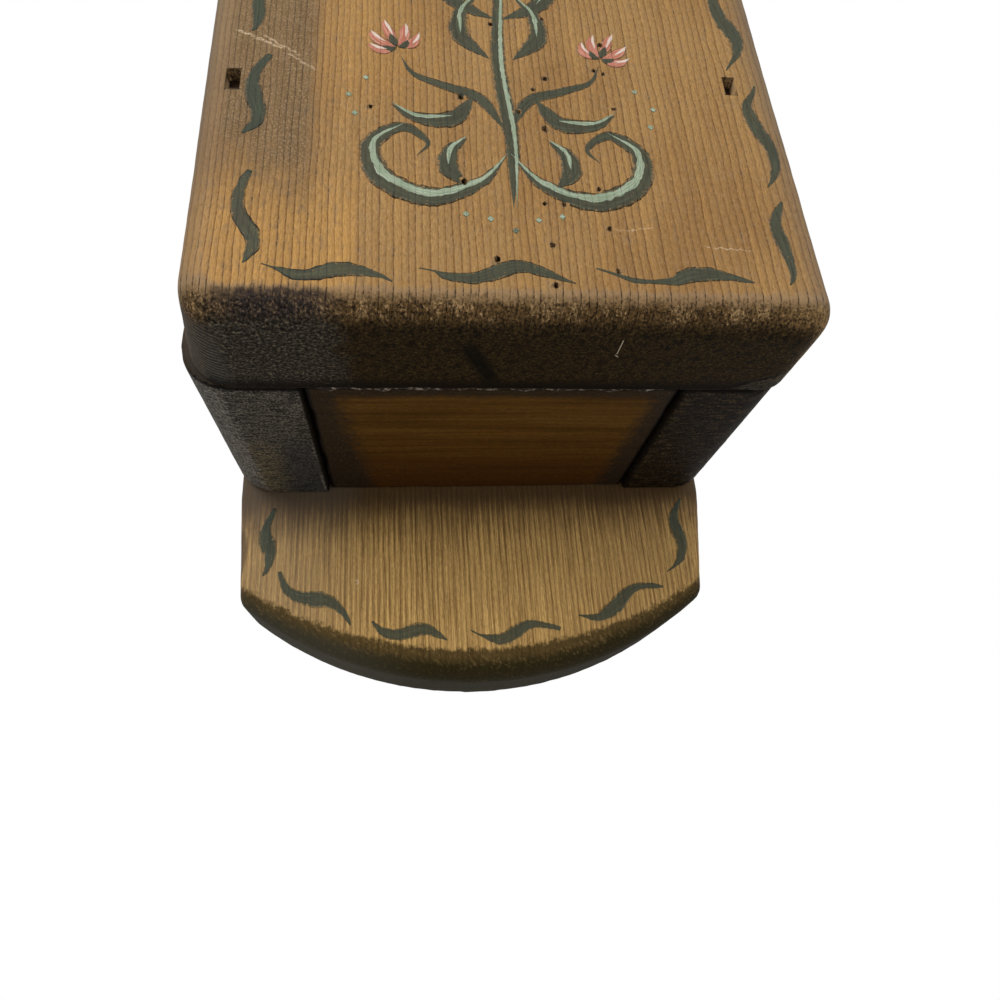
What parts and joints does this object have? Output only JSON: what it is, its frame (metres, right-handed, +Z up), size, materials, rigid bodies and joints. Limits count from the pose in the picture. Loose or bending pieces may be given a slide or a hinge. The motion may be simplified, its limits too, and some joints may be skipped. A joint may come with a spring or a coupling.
{
  "type": "wall pocket",
  "caption": "Narrow open-topped wooden wall pocket with a thick rounded front, and a backboard with a rounded foot and a head with a hanging hole.",
  "frame": {"origin": "middle of the hanging hole, on the backboard's back face", "axes": "+X to the right as seen from the front, +Y into the wall, +Z up"},
  "size_m": [0.1004, 0.0786, 0.2666],
  "materials": {
    "pine_front": "satin stain",
    "pine_side": "satin stain, scorched ends",
    "pine_floor": "satin stain",
    "pine_back": "satin stain",
    "nail_steel": "dull"
  },
  "bodies": {
    "root": {"backboard": "pine_back", "left_side": "pine_side", "right_side": "pine_side", "bottom_board": "pine_floor", "front_panel": "pine_front", "front_nail_left_lower": "nail_steel", "front_nail_left_upper": "nail_steel", "front_nail_right_lower": "nail_steel", "front_nail_right_upper": "nail_steel", "back_nail_left_lower": "nail_steel", "back_nail_left_upper": "nail_steel", "back_nail_right_lower": "nail_steel", "back_nail_right_upper": "nail_steel", "side_nail_left_front": "nail_steel", "side_nail_left_back": "nail_steel", "side_nail_right_front": "nail_steel", "side_nail_right_back": "nail_steel", "back_nail_bottom": "nail_steel"}
  },
  "joints": []
}
